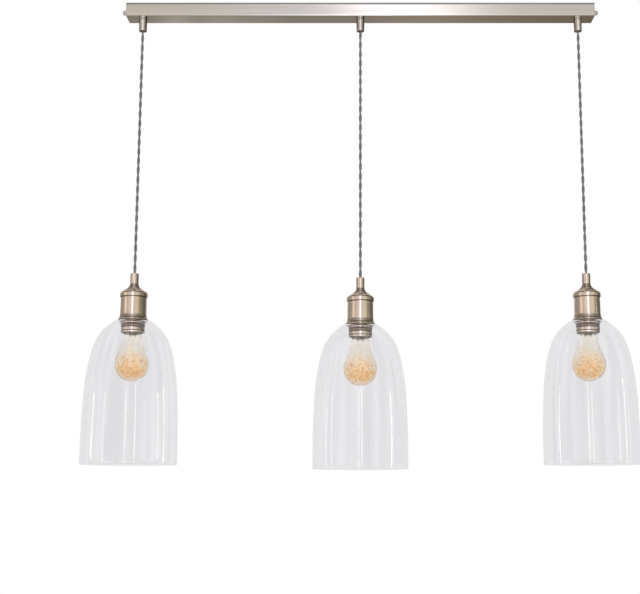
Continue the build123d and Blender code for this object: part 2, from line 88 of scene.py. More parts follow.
class Tree:
    """Small helper to write shader node trees."""

    def __init__(self, name):
        self.mat = bpy.data.materials.new(name)
        self.mat.use_nodes = True
        self.nt = self.mat.node_tree
        self.bsdf = self.nt.nodes["Principled BSDF"]
        self.out = self.nt.nodes["Material Output"]

    def node(self, kind, **props):
        n = self.nt.nodes.new(kind)
        for k, v in props.items():
            setattr(n, k, v)
        return n

    def put(self, socket, value):
        if hasattr(value, "is_output"):
            self.nt.links.new(value, socket)
        else:
            socket.default_value = value

    def coords(self, scale, kind="Object", rotation=(0, 0, 0), location=(0, 0, 0)):
        tc = self.node("ShaderNodeTexCoord")
        mp = self.node("ShaderNodeMapping")
        mp.inputs["Scale"].default_value = scale
        mp.inputs["Rotation"].default_value = rotation
        mp.inputs["Location"].default_value = location
        self.put(mp.inputs["Vector"], tc.outputs[kind])
        return mp.outputs["Vector"]

    def noise(self, vec, scale=1.0, detail=3.0, rough=0.5, distort=0.0):
        n = self.node("ShaderNodeTexNoise")
        self.put(n.inputs["Vector"], vec)
        n.inputs["Scale"].default_value = scale
        n.inputs["Detail"].default_value = detail
        n.inputs["Roughness"].default_value = rough
        n.inputs["Distortion"].default_value = distort
        return n.outputs["Fac"]

    def ramp(self, fac, stops, ease="LINEAR"):
        r = self.node("ShaderNodeValToRGB")
        r.color_ramp.interpolation = ease
        els = r.color_ramp.elements
        while len(els) < len(stops):
            els.new(0.5)
        for e, (p, c) in zip(els, stops):
            e.position = p
            e.color = tuple(c) + (1.0,) if len(c) == 3 else c
        self.put(r.inputs["Fac"], fac)
        return r.outputs["Color"]

    def math(self, op, a, b=None, c=None, clamp=False):
        m = self.node("ShaderNodeMath", operation=op, use_clamp=clamp)
        self.put(m.inputs[0], a)
        if b is not None:
            self.put(m.inputs[1], b)
        if c is not None:
            self.put(m.inputs[2], c)
        return m.outputs[0]

    def mixc(self, fac, a, b, mode="MIX"):
        m = self.node("ShaderNodeMix", data_type="RGBA", blend_type=mode)
        self.put(m.inputs["Factor"], fac)
        self.put(m.inputs["A"], a if hasattr(a, "is_output") else tuple(a) + (1.0,))
        self.put(m.inputs["B"], b if hasattr(b, "is_output") else tuple(b) + (1.0,))
        return m.outputs["Result"]

    def bump(self, height, strength, distance, after=None):
        b = self.node("ShaderNodeBump")
        b.inputs["Strength"].default_value = strength
        b.inputs["Distance"].default_value = distance
        self.put(b.inputs["Height"], height)
        if after is not None:
            self.put(b.inputs["Normal"], after)
        return b.outputs["Normal"]

    def painted_crease_shade(self, distance, amount):
        """How far a point lies in a corner or groove, 0 in the open; it sets how much shade is painted there."""
        ao = self.node("ShaderNodeAmbientOcclusion", samples=8)
        ao.inputs["Distance"].default_value = distance
        return self.math("MULTIPLY", self.math("SUBTRACT", 0.92, ao.outputs["AO"], clamp=True), amount * 1.6, clamp=True)

    def set(self, **sockets):
        for k, v in sockets.items():
            s = self.bsdf.inputs[k.replace("_", " ")]
            if not hasattr(v, "is_output") and isinstance(v, tuple) and len(v) == 3:
                v = v + (1.0,)
            self.put(s, v)
        return self


def wear_metal(name, dark, light, rough, streak, bump, coarse, rough_span=0.08, painted_crease_shade=True, edge=None, lines=None):
    """Brushed or turned metal: streaks long in one direction, slow tarnish, and painted shade in creases and in the
    given grooves.
    """
    t = Tree(name)
    fine = t.noise(t.coords(streak), 1.0, 4.0, 0.6)
    slow = t.noise(t.coords(coarse), 1.0, 2.0, 0.5)
    tone = t.math("MULTIPLY_ADD", fine, 0.55, t.math("MULTIPLY", slow, 0.45))
    col = t.ramp(tone, [(0.36, dark), (0.64, light)])
    rg = t.math("MULTIPLY_ADD", t.math("SUBTRACT", tone, 0.5), -rough_span * 2, rough)
    if painted_crease_shade:
        # painted shade: corners and creases found by ambient occlusion are darkened in the colour
        col = t.mixc(t.painted_crease_shade(0.0028, 0.75), col, tuple(0.30 * v for v in dark))
    if edge:
        t.set(Specular_Tint=edge)       # the metal's own mirror at a shallow angle
    normal = t.bump(fine, bump, 0.0002)
    if lines:
        # shallow turned grooves at given heights (millimetres below the grip's top), with painted shade in them
        top, cuts = lines
        sep = t.node("ShaderNodeSeparateXYZ")
        t.put(sep.inputs[0], t.node("ShaderNodeTexCoord").outputs["Object"])
        h = t.math("MULTIPLY", t.math("SUBTRACT", top, sep.outputs[2]), 1000.0)
        open_metal = None
        for at, half, deep in cuts:
            away = t.math("DIVIDE", t.math("ABSOLUTE", t.math("SUBTRACT", h, at)), half)
            groove_shade = t.math("MULTIPLY", t.math("SUBTRACT", 1.35, away, clamp=True), deep, clamp=True)
            left = t.math("SUBTRACT", 1.0, groove_shade)
            open_metal = left if open_metal is None else t.math("MULTIPLY", open_metal, left)
        # painted shade: the grooves and steps darkened in the colour
        col = t.mixc(open_metal, (0.10, 0.08, 0.06), col)
        normal = t.bump(open_metal, 0.5, 0.0004, normal)
    t.set(Base_Color=col, Metallic=1.0, Roughness=rg, Normal=normal)
    return t.mat


def bar_metal():
    """Satin sheet brushed along the bar, its upper edge rougher and painted dark as shade where it meets the ceiling.
    """
    t = Tree("bar_nickel")
    fine = t.noise(t.coords((3, 420, 420)), 1.0, 4.0, 0.6)
    slow = t.noise(t.coords((2.2, 40, 60)), 1.0, 2.0, 0.5)
    tone = t.math("MULTIPLY_ADD", fine, 0.55, t.math("MULTIPLY", slow, 0.45))
    col = t.ramp(tone, [(0.36, (0.53, 0.50, 0.455)), (0.64, (0.66, 0.63, 0.58))])
    sep = t.node("ShaderNodeSeparateXYZ")
    t.put(sep.inputs[0], t.node("ShaderNodeTexCoord").outputs["Object"])
    # painted shade: a dark band along the upper edge, against the ceiling
    edge = t.math("DIVIDE", t.math("ADD", sep.outputs[2], 0.0042), 0.0012, clamp=True)
    edge = t.math("MULTIPLY", edge, t.math("MULTIPLY_ADD", slow, 0.5, 0.62), clamp=True)
    rg = t.math("MULTIPLY_ADD", t.math("SUBTRACT", tone, 0.5), -0.12, 0.11)
    t.set(Base_Color=t.mixc(edge, col, (0.20, 0.195, 0.20)), Metallic=1.0,
          Roughness=t.math("MULTIPLY_ADD", edge, 0.3, rg), Normal=t.bump(fine, 0.10, 0.0002))
    return t.mat


def plastic(name, a, b, rough, scale, bump, transmission=0.0, sss=0.0):
    t = Tree(name)
    n = t.noise(t.coords((scale,) * 3), 1.0, 4.0, 0.55)
    t.set(Base_Color=t.ramp(n, [(0.3, a), (0.7, b)]), Roughness=rough,
          Transmission_Weight=transmission, Normal=t.bump(n, bump, 0.0001))
    return t.mat


def through_for_lamps(t, tint, mirrored=False):
    """Light falling on what stands behind the glass passes it as a plain tint, also what metal behind it mirrors."""
    lp = t.node("ShaderNodeLightPath")
    plain = t.math("MAXIMUM", lp.outputs["Is Shadow Ray"], lp.outputs["Is Diffuse Ray"])
    if mirrored:
        rough_ray = t.math("MULTIPLY", lp.outputs["Is Glossy Ray"], t.math("SUBTRACT", 1.0, lp.outputs["Is Singular Ray"]))
        plain = t.math("MAXIMUM", plain, rough_ray)
        # light caught in the wall comes out again instead of running up it
        plain = t.math("MAXIMUM", plain, t.math("GREATER_THAN", lp.outputs["Ray Depth"], 10.5))
    tr = t.node("ShaderNodeBsdfTransparent")
    tr.inputs["Color"].default_value = tuple(tint) + (1.0,)
    mx = t.node("ShaderNodeMixShader")
    t.put(mx.inputs[0], plain)
    t.put(mx.inputs[1], t.bsdf.outputs["BSDF"])
    t.put(mx.inputs[2], tr.outputs["BSDF"])
    t.put(t.out.inputs["Surface"], mx.outputs["Shader"])


# ------------------------------------------------------------------- flexes
# The route of each hanging flex, top to bottom, in metres.
ROUTES = {
    "left": [(-0.420, 0, -0.0476), (-0.420, 0, -0.0505), (-0.420, 0, -0.0605), (-0.420, 0, -0.0955),
             (-0.420, 0, -0.3000), (-0.420, 0, -0.4915), (-0.420, 0, -0.5265), (-0.420, 0, -0.5385)],
    "centre": [(0, 0, -0.0476), (0, 0, -0.0505), (0, 0, -0.0605), (0, 0, -0.0955),
               (0, 0, -0.3040), (0, 0, -0.4995), (0, 0, -0.5345), (0, 0, -0.5465)],
    "right": [(0.420, 0, -0.0476), (0.420, 0, -0.0505), (0.420, 0, -0.0605), (0.420, 0, -0.0955),
              (0.420, 0, -0.3000), (0.420, 0, -0.4915), (0.420, 0, -0.5265), (0.420, 0, -0.5385)],
}
TWIST = 0.0375       # one full turn of the pair


def read_route(name, points):
    """Points of the route's own smooth spline."""
    curve = bpy.data.curves.new(name + "_route", "CURVE")
    curve.dimensions = "3D"
    spline = curve.splines.new("NURBS")
    spline.points.add(len(points) - 1)
    for p, co in zip(spline.points, points):
        p.co = (co[0], co[1], co[2], 1.0)
    spline.order_u = 3
    spline.use_endpoint_u = True
    spline.resolution_u = 110
    obj = link(bpy.data.objects.new(name + "_route", curve))
    bpy.context.view_layer.update()
    mesh = bpy.data.meshes.new_from_object(obj)
    path = [Vector(v.co) for v in mesh.vertices]
    bpy.data.objects.remove(obj)
    bpy.data.meshes.remove(mesh)
    if path[0].z < path[-1].z:
        path.reverse()
    out = [path[0]]
    for p in path[1:]:
        if (p - out[-1]).length > 2e-5:
            out.append(p)
    return out


def fabric_flex():
    """Braided fabric sleeve on each core of the pair."""
    t = Tree("flex_fabric")
    uv = t.node("ShaderNodeTexCoord").outputs["UV"]
    sep = t.node("ShaderNodeSeparateXYZ")
    t.put(sep.inputs[0], uv)
    u, v = sep.outputs[0], sep.outputs[1]
    # two families of threads crossing, v in metres, u once round the core
    a = t.math("SINE", t.math("MULTIPLY", t.math("ADD", t.math("MULTIPLY", u, 8.0), t.math("MULTIPLY", v, 900.0)), 2 * math.pi))
    b = t.math("SINE", t.math("MULTIPLY", t.math("SUBTRACT", t.math("MULTIPLY", u, 8.0), t.math("MULTIPLY", v, 900.0)), 2 * math.pi))
    weave = t.math("MULTIPLY_ADD", t.math("MULTIPLY", a, b), 0.5, 0.5)
    fuzz = t.noise(t.coords((2600, 2600, 2600)), 1.0, 3.0, 0.6)
    slow = t.noise(t.coords((60, 60, 22)), 1.0, 2.0, 0.5)
    tone = t.math("ADD", t.math("MULTIPLY", weave, 0.5), t.math("ADD", t.math("MULTIPLY", fuzz, 0.3), t.math("MULTIPLY", slow, 0.3)))
    col = t.ramp(tone, [(0.25, (0.112, 0.116, 0.128)), (0.55, (0.198, 0.203, 0.218)), (0.85, (0.34, 0.347, 0.36))])
    t.set(Base_Color=col, Roughness=0.82, Sheen_Weight=0.35, Sheen_Roughness=0.45,
          Normal=t.bump(t.math("ADD", weave, t.math("MULTIPLY", fuzz, 0.4)), 0.6, 0.00012))
    return t.mat


M_FLEX = fabric_flex()
COUNT = iter(range(100))

for name, x, top in SIDES:
    path = read_route("flex_" + name, ROUTES[name])
    run = [0.0]
    for p, q in zip(path, path[1:]):
        run.append(run[-1] + (q - p).length)
    # thin the read points to one about every 1.3 mm
    keep = [0]
    for i in range(1, len(path)):
        if run[i] - run[keep[-1]] >= 0.0013 or i == len(path) - 1:
            keep.append(i)
    SIDES_N = 12
    verts, faces, uvs = [], [], []
    seed = {"left": 3.1, "centre": 7.7, "right": 12.9}[name]
    for k in range(2):
        base = len(verts)
        for i in keep:
            s = run[i]
            p = path[i]
            d = (path[min(i + 1, len(path) - 1)] - path[max(i - 1, 0)]).normalized()
            a1 = d.cross(Vector((0, 1, 0))).normalized()
            a2 = d.cross(a1).normalized()
            wob = noise.noise(Vector((seed, s * 9.0, 0.3)))
            phase = 2 * math.pi * (s / TWIST + 0.10 * wob) + math.pi * k + seed
            # the pair is pulled together where it enters each grip
            squeeze = 1.0 - 0.10 * math.exp(-min(s, run[-1] - s) / 0.006)
            off = 0.00134 * squeeze          # soft sleeves, pressed flat where the cores touch
            r = 0.00155 * squeeze * (1.0 + 0.015 * noise.noise(Vector((seed, s * 160.0, k * 5.0))))
            c = p + (a1 * math.cos(phase) + a2 * math.sin(phase)) * off
            # the core's own direction, along its helix
            rate = 2 * math.pi / TWIST
            t_dir = (d + (-a1 * math.sin(phase) + a2 * math.cos(phase)) * off * rate).normalized()
            b1 = (a1 * math.cos(phase) + a2 * math.sin(phase)).normalized()
            b2 = t_dir.cross(b1).normalized()
            for j in range(SIDES_N):
                ang = 2 * math.pi * j / SIDES_N
                verts.append(c + (b1 * math.cos(ang) + b2 * math.sin(ang)) * r)
        n = len(keep)
        for i in range(n - 1):
            for j in range(SIDES_N):
                j2 = (j + 1) % SIDES_N
                a, b = base + i * SIDES_N + j, base + i * SIDES_N + j2
                faces.append((a, a + SIDES_N, b + SIDES_N, b))
                u0, u1 = j / SIDES_N, (j + 1) / SIDES_N
                v0, v1 = run[keep[i]], run[keep[i + 1]]
                uvs.append([(u0, v0), (u0, v1), (u1, v1), (u1, v0)])
        faces.append(tuple(base + j for j in range(SIDES_N)))
        uvs.append([(j / SIDES_N, 0.0) for j in range(SIDES_N)])
        faces.append(tuple(base + (n - 1) * SIDES_N + j for j in reversed(range(SIDES_N))))
        uvs.append([(j / SIDES_N, run[-1]) for j in range(SIDES_N)])
    flex = mesh_object("twisted_flex_" + name, verts, faces, uvs)
    flex.data.materials.append(M_FLEX)
    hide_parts("flex_neck_" + name, "flex_" + name)
    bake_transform(flex)

# ------------------------------------------------------------------- metals
M_BAR = bar_metal()
M_GRIP = wear_metal("grip_nickel", (0.64, 0.60, 0.55), (0.76, 0.73, 0.68), 0.14, (60, 60, 2600), 0.10, (40, 40, 30), edge=(0.12, 0.11, 0.10))
CAP_LINES = [(20.2, 0.9, 0.65), (24.8, 0.8, 0.75), (28.6, 0.9, 0.80), (36.6, 0.6, 0.35), (45.2, 0.8, 0.75)]
SHELL_LINES = [(45.2, 0.8, 0.75), (79.6, 0.6, 0.55), (82.9, 0.6, 0.70), (85.4, 0.6, 0.60), (88.0, 0.7, 0.75),
               (91.6, 0.6, 0.8), (96.2, 0.6, 0.8)]


def holder_metal(name, top, cuts):
    return wear_metal("%s_%d" % (name, round(-top * 10000 + next(COUNT))), (0.585, 0.53, 0.47), (0.705, 0.65, 0.585), 0.125,
                      (45, 45, 3000), 0.12, (30, 30, 26), lines=(top, cuts))



M_SCREW = wear_metal("screw_nickel", (0.50, 0.46, 0.40), (0.64, 0.60, 0.54), 0.26, (900, 300, 300), 0.08, (60, 60, 60))
M_ZINC = wear_metal("zinc_steel", (0.50, 0.52, 0.54), (0.66, 0.68, 0.70), 0.30, (60, 60, 60), 0.05, (25, 25, 25))
M_ZSCREW = wear_metal("zinc_screw", (0.58, 0.52, 0.34), (0.72, 0.68, 0.50), 0.30, (300, 300, 900), 0.05, (60, 60, 60))
M_BRASS = wear_metal("contact_brass", (0.62, 0.46, 0.20), (0.80, 0.64, 0.34), 0.24, (200, 200, 1500), 0.05, (60, 60, 60))
M_CAP = wear_metal("lamp_cap_metal", (0.60, 0.57, 0.50), (0.78, 0.75, 0.68), 0.24, (200, 200, 1500), 0.06, (60, 60, 60))
M_NYLON = plastic("nylon", (0.78, 0.77, 0.73), (0.87, 0.86, 0.82), 0.45, 400, 0.05)
M_CORE = plastic("holder_core", (0.82, 0.79, 0.73), (0.90, 0.88, 0.83), 0.22, 300, 0.03)
# the gaskets' dark tone is painted shade for the dark band under the lampholder's flange
M_GASKET = plastic("gasket", (0.11, 0.09, 0.075), (0.17, 0.14, 0.12), 0.50, 600, 0.05)
M_TIP = plastic("lamp_tip", (0.02, 0.018, 0.018), (0.05, 0.045, 0.045), 0.12, 500, 0.02)



def ring_metal(top):
    """Turned nickel, with painted shade in the thread and grooves of the shade ring, a painted dark reflection on the
    ridge between them and a painted highlight on its lip.
    """
    t = Tree("ring_nickel_%d" % round(-top * 10000 + next(COUNT)))
    sep = t.node("ShaderNodeSeparateXYZ")
    t.put(sep.inputs[0], t.node("ShaderNodeTexCoord").outputs["Object"])
    h = t.math("MULTIPLY", t.math("SUBTRACT", top, sep.outputs[2]), 1000.0)       # millimetres below the grip's top
    at = t.math("DIVIDE", t.math("SUBTRACT", h, 92.0), 20.0, clamp=True)
    fine = t.noise(t.coords((45, 45, 3000)), 1.0, 4.0, 0.6)
    slow = t.noise(t.coords((60, 60, 40)), 1.0, 3.0, 0.55)
    light, brown, black = (0.72, 0.66, 0.60), (0.27, 0.19, 0.145), (0.07, 0.045, 0.035)
    # painted light by height: shade in the thread and grooves, a dark reflection on the ridge, a highlight on the lip
    painted_light_bands = t.ramp(at, [(0.00, (0.60, 0.53, 0.46)), (0.13, light), (0.18, (0.45, 0.36, 0.29)), (0.22, black), (0.29, black),
                        (0.32, brown), (0.44, brown), (0.46, black), (0.50, black), (0.53, light), (0.76, light),
                        (0.79, (0.20, 0.15, 0.12)), (0.83, (0.20, 0.15, 0.12)), (0.86, (0.92, 0.90, 0.87)), (1.0, (0.92, 0.90, 0.87))])
    col = t.mixc(t.math("MULTIPLY_ADD", fine, 0.5, t.math("MULTIPLY", slow, 0.3)), painted_light_bands, (0.55, 0.49, 0.43), "MULTIPLY")
    col = t.mixc(0.55, col, painted_light_bands)
    t.set(Base_Color=col, Metallic=1.0, Roughness=t.math("MULTIPLY_ADD", slow, 0.12, 0.14), Normal=t.bump(fine, 0.12, 0.0002))
    return t.mat


WEAR = {"canopy_cover": M_BAR, "ceiling_bracket": M_ZINC, "grip_nuts": M_ZINC, "earth_screw": M_ZINC,
        "grip_inserts": M_NYLON, "terminal_block": M_NYLON, "terminal_screws": M_ZSCREW, "flex_tails": M_FLEX}
for s in ("left", "right"):
    WEAR["end_washer_" + s] = M_SCREW
    WEAR["end_screw_" + s] = M_SCREW
for s, x, top in SIDES:
    WEAR["cord_grip_" + s] = M_GRIP
    WEAR["holder_grip_" + s] = wear_metal("holder_grip_nickel_" + s, (0.56, 0.52, 0.47), (0.68, 0.64, 0.59), 0.15, (60, 60, 2600),
                                          0.10, (40, 40, 30), edge=(0.12, 0.11, 0.10), lines=(top, CAP_LINES))
    WEAR["holder_cap_" + s] = holder_metal("cap_nickel", top, CAP_LINES)
    WEAR["holder_shell_" + s] = holder_metal("shell_nickel", top, SHELL_LINES)
    WEAR["shade_ring_" + s] = ring_metal(top)
    WEAR["holder_core_" + s] = M_CORE
    WEAR["holder_contacts_" + s] = M_BRASS
    WEAR["shade_gaskets_" + s] = M_GASKET
    WEAR["bulb_tip_" + s] = M_TIP
    WEAR["bulb_cap_" + s] = M_CAP


# ------------------------------------------------------------------- glass
def shade_glass():
    t = Tree("shade_glass")
    drawn = t.noise(t.coords((55, 55, 5)), 1.0, 2.0, 0.5)      # slow vertical drawing lines
    waves = t.noise(t.coords((14, 14, 9)), 1.0, 2.0, 0.5)
    h = t.math("ADD", t.math("MULTIPLY", drawn, 0.35), waves)
    # painted shade: the glass tint darkens towards its outline
    turn = t.node("ShaderNodeLayerWeight")
    turn.inputs["Blend"].default_value = 0.5
    painted_edge_shade = t.math("MULTIPLY", t.math("SUBTRACT", turn.outputs["Facing"], 0.58), 2.6, clamp=True)
    t.set(Base_Color=t.mixc(painted_edge_shade, (0.985, 0.988, 0.990), (0.955, 0.957, 0.960)), Roughness=0.0, IOR=1.47, Transmission_Weight=1.0,
          Normal=t.bump(h, 0.25, 0.0012))
    through_for_lamps(t, (0.984, 0.986, 0.988), True)
    return t.mat


def bulb_glass(top):
    """Clear at the neck, passing to amber in the lower dome, with painted glints as pale flecks and a painted lighter
    outline.
    """
    t = Tree("lamp_glass_%d" % round(-top * 10000 + next(COUNT)))
    sep = t.node("ShaderNodeSeparateXYZ")
    t.put(sep.inputs[0], t.node("ShaderNodeTexCoord").outputs["Object"])
    h = t.math("SUBTRACT", top, sep.outputs[2])                 # height below the grip's top
    wob = t.noise(t.coords((110, 110, 80)), 1.0, 3.0, 0.6)
    fleck = t.noise(t.coords((290, 290, 215)), 1.0, 1.5, 0.5, 0.5)
    f = t.math("MULTIPLY_ADD", t.math("SUBTRACT", wob, 0.5), 0.022, h)
    fac = t.math("DIVIDE", t.math("SUBTRACT", f, 0.118), 0.083, clamp=True)
    col = t.ramp(fac, [(0.0, (1.0, 0.985, 0.955)), (0.20, (1.0, 0.975, 0.925)), (0.38, (1.0, 0.945, 0.865)),
                       (0.52, (1.0, 0.90, 0.765)), (0.66, (1.0, 0.86, 0.66)), (0.75, (1.0, 0.78, 0.50)),
                       (0.87, (1.0, 0.76, 0.47)), (0.93, (1.0, 0.87, 0.71)), (1.0, (1.0, 0.90, 0.78))])
    # painted glints: pale flecks mixed into the colour
    pale = t.math("MULTIPLY", t.math("SUBTRACT", fleck, 0.54), 11.0, clamp=True)
    col = t.mixc(t.math("MULTIPLY", pale, 0.9), col, (1.0, 0.975, 0.91))
    deep = t.math("MULTIPLY", t.math("SUBTRACT", 0.445, fleck), 14.0, clamp=True)
    mid = t.math("MULTIPLY", t.math("SUBTRACT", fac, 0.36), 6.0, clamp=True)
    col = t.mixc(t.math("MULTIPLY", t.math("MULTIPLY", deep, mid), 0.75), col, (0.86, 0.54, 0.25))
    # painted highlight: the colour turns lighter towards the lamp's outline
    turn = t.node("ShaderNodeLayerWeight")
    turn.inputs["Blend"].default_value = 0.5
    painted_rim_light = t.math("MULTIPLY", t.math("SUBTRACT", turn.outputs["Facing"], 0.26), 3.6, clamp=True)
    col = t.mixc(t.math("MULTIPLY", painted_rim_light, 0.70), col, (1.0, 0.965, 0.90))
    hh = t.math("ADD", t.math("MULTIPLY", wob, 0.5), fleck)
    t.set(Base_Color=col, Roughness=0.05, IOR=1.22, Transmission_Weight=0.97,
          Normal=t.bump(hh, 0.22, 0.0006))
    through_for_lamps(t, (0.97, 0.92, 0.84))
    return t.mat


def stem_glass():
    t = Tree("lamp_stem")
    n = t.noise(t.coords((500, 500, 300)), 1.0, 2.0, 0.5)
    # the real stem is a hollow tube, so the solid one bends light less than glass would
    t.set(Base_Color=(0.97, 0.95, 0.90), Roughness=0.08, IOR=1.12, Transmission_Weight=1.0,
          Normal=t.bump(n, 0.2, 0.0003))
    through_for_lamps(t, (0.95, 0.94, 0.9))
    return t.mat


def filament_wire():
    t = Tree("filament")
    n = t.noise(t.coords((900, 900, 900)), 1.0, 2.0, 0.5)
    # painted glow: a faint emission on the filament wire
    t.set(Base_Color=t.ramp(n, [(0.3, (0.80, 0.52, 0.22)), (0.7, (0.95, 0.74, 0.42))]), Metallic=1.0, Roughness=0.35,
          Emission_Color=(1.0, 0.84, 0.60), Emission_Strength=0.32)
    return t.mat


M_SHADE = shade_glass()
M_STEM = stem_glass()
M_FIL = filament_wire()

for n, m in WEAR.items():
    o = NODES[n]
    o.data.materials.clear()
    o.data.materials.append(m)
    o.data.shade_smooth()
    o.data.set_sharp_from_angle(angle=math.radians(28))


def arcs_between(knots, steps):
    """Smooth outline through (r, h) knots whose directions are given."""
    out = []
    for (p0, t0), (p1, t1) in zip(knots, knots[1:]):
        length = math.hypot(p1[0] - p0[0], p1[1] - p0[1])
        a = (t0[0] / math.hypot(*t0) * length, t0[1] / math.hypot(*t0) * length)
        b = (t1[0] / math.hypot(*t1) * length, t1[1] / math.hypot(*t1) * length)
        for i in range(steps):
            s = i / steps
            h00, h10 = 2 * s ** 3 - 3 * s ** 2 + 1, s ** 3 - 2 * s ** 2 + s
            h01, h11 = -2 * s ** 3 + 3 * s ** 2, s ** 3 - s ** 2
            out.append(tuple(h00 * p0[k] + h10 * a[k] + h01 * p1[k] + h11 * b[k] for k in (0, 1)))
    out.append(knots[-1][0])
    return out


def offset(line, t):
    """The outline moved by t to its inner side."""
    out = []
    for i, p in enumerate(line):
        a, b = line[max(i - 1, 0)], line[min(i + 1, len(line) - 1)]
        d = (b[0] - a[0], b[1] - a[1])
        n = math.hypot(*d)
        out.append((p[0] - d[1] / n * t, p[1] + d[0] / n * t))
    return out


def turned(name, outline, x, top, seg, closed=True, uneven=None):
    """Surface of revolution from (r, h) in millimetres, h below top."""
    verts, rows = [], []
    for r, h in outline:
        if r < 1e-6:
            rows.append([len(verts)] * seg)
            verts.append(Vector((x, 0, top - h * MM)))
            continue
        row = []
        for j in range(seg):
            a = 2 * math.pi * j / seg
            rr = r + (uneven(a, h, r) if uneven else 0.0)
            row.append(len(verts))
            verts.append(Vector((x + rr * MM * math.cos(a), rr * MM * math.sin(a), top - h * MM)))
        rows.append(row)
    faces = []
    n = len(rows)
    for i in range(n if closed else n - 1):
        lo, hi = rows[i], rows[(i + 1) % n]
        for j in range(seg):
            k = (j + 1) % seg
            q = [lo[j], lo[k], hi[k], hi[j]]
            f = []
            for v in q:
                if v not in f:
                    f.append(v)
            if len(f) > 2:
                faces.append(tuple(reversed(f)))
    return mesh_object(name, verts, faces, None, 40)


BELL = [((30.5, 89.0), (1.0, 0.0)), ((42.6, 96.7), (1.0, 0.80)), ((56.0, 110.0), (0.80, 1.0)),
        ((66.0, 126.0), (0.45, 1.0)), ((71.9, 142.5), (0.30, 1.0)), ((77.9, 169.5), (0.165, 1.0)),
        ((82.9, 206.0), (0.095, 1.0)), ((85.2, 244.0), (0.042, 1.0)), ((87.0, 320.0), (0.0, 1.0))]
PEAR = [((11.6, 110.2), (0.0, 1.0)), ((16.4, 116.2), (0.42, 1.0)), ((17.9, 126.0), (0.03, 1.0)),
        ((21.6, 142.0), (0.39, 1.0)), ((28.2, 156.6), (0.375, 1.0)), ((30.9, 170.1), (0.0, 1.0))]


def rounded(cx, cy, r, a0, a1, n):
    return [(cx + r * math.cos(math.radians(a0 + (a1 - a0) * i / n)),
             cy + r * math.sin(math.radians(a0 + (a1 - a0) * i / n))) for i in range(n + 1)]


bell = arcs_between(BELL, 7)
inner = offset(bell, 3.0)
inner = [p for p in inner if p[0] >= 30.0]
glass_line = ([(21.1, 89.0), (25.0, 89.0)] + bell + [(87.0, 330.0), (87.0, 340.0), (87.0, 350.5)]
              + rounded(85.5, 350.5, 1.5, 0, 180, 8)[1:-1]
              + [(84.0, 350.5), (84.0, 340.0), (84.0, 330.0)] + list(reversed(inner))
              + [(25.0, 92.0), (21.1, 92.0)] + rounded(21.1, 91.2, 0.8, 90, 180, 4)[1:]
              + rounded(21.1, 89.8, 0.8, 180, 270, 4)[:-1])
pear = arcs_between(PEAR, 6)
dome = rounded(0, 170.1, 30.9, 0, 90, 20)[1:]
dome[-1] = (0.0, 201.0)
dome_in = rounded(0, 170.1, 30.1, 90, 0, 20)[:-1]
dome_in[0] = (0.0, 200.2)
bulb_line = ([(11.6, 105.0)] + pear + dome + dome_in + list(reversed(offset(pear, 0.8))) + [(10.8, 105.0)])

for idx, (s, x, top) in enumerate(SIDES):
    def uneven(a, h, r, k=idx):
        """Hand-worked glass: very slow waves round and down the wall."""
        f = min(1.0, max(0.0, (h - 100.0) / 60.0))
        v = noise.noise(Vector((math.cos(a) * 1.3 + 9 * k, math.sin(a) * 1.3, h * 0.012)))
        return 0.18 * f * v
    g = turned("shade_" + s, glass_line, x, top, 160, True, uneven)
    g.data.materials.append(M_SHADE)
    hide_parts("glass_shade_" + s)
    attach(g, s + "_shade")
    b = turned("lamp_" + s, bulb_line, x, top, 96)
    b.data.materials.append(bulb_glass(top))
    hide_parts("bulb_glass_" + s)
    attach(b, s + "_bulb")
    for n, m in (("bulb_stem_", M_STEM), ("filament_", M_FIL)):
        o = NODES[n + s]
        o.data.materials.clear()
        o.data.materials.append(m)
        o.data.shade_smooth()
        o.data.set_sharp_from_angle(angle=math.radians(40))

# ------------------------------------------------------------------- stage
floor_mesh = bpy.data.meshes.new("floor")
N_FLOOR = 96
floor_mesh.from_pydata([(3.4 * math.cos(2 * math.pi * i / N_FLOOR), 3.4 * math.sin(2 * math.pi * i / N_FLOOR), -1.46)
                        for i in range(N_FLOOR)], [], [tuple(range(N_FLOOR))])
floor = link(bpy.data.objects.new("floor", floor_mesh))
ft = Tree("floor_paint")
ft.set(Base_Color=(0.86, 0.86, 0.85), Roughness=0.9, Emission_Color=(0.80, 0.90, 1.0), Emission_Strength=0.40)
floor.data.materials.append(ft.mat)
floor.visible_glossy = False
floor.visible_transmission = False


def softbox(name, loc, target, size, radiance, colour=(1, 1, 1)):
    """Area light given by how bright its face looks."""
    d = bpy.data.lights.new(name, "AREA")
    d.shape = "RECTANGLE"
    d.size, d.size_y = size
    d.color = colour
    d.energy = radiance * math.pi * size[0] * size[1]
    o = link(bpy.data.objects.new(name, d))
    o.location = loc
    o.rotation_euler = (Vector(target) - Vector(loc)).to_track_quat("-Z", "Y").to_euler()
    o.visible_camera = False
    return o


softbox("front_strip", (0.075, -1.15, -0.655), (0, 0, -0.655), (0.034, 0.43), 4.2)
softbox("left_strip", (-2.3, -0.08, -0.67), (0, 0, -0.67), (0.075, 0.36), 4.6, (1.0, 0.99, 0.98))
softbox("right_strip", (2.25, -0.40, -0.57), (0, 0, -0.60), (0.075, 0.56), 4.6, (0.99, 0.99, 1.0))
softbox("overhead", (0.0, -1.2, 1.4), (0, 0, -0.5), (2.4, 1.2), 0.8, (1.0, 0.99, 0.97)).visible_glossy = False

world = bpy.data.worlds.new("studio")
SCENE.world = world
world.use_nodes = True
nt = world.node_tree
nt.nodes.clear()


def wn(kind, **props):
    n = nt.nodes.new(kind)
    for k, v in props.items():
        setattr(n, k, v)
    return n


def wput(sock, v):
    if hasattr(v, "is_output"):
        nt.links.new(v, sock)
    else:
        sock.default_value = v


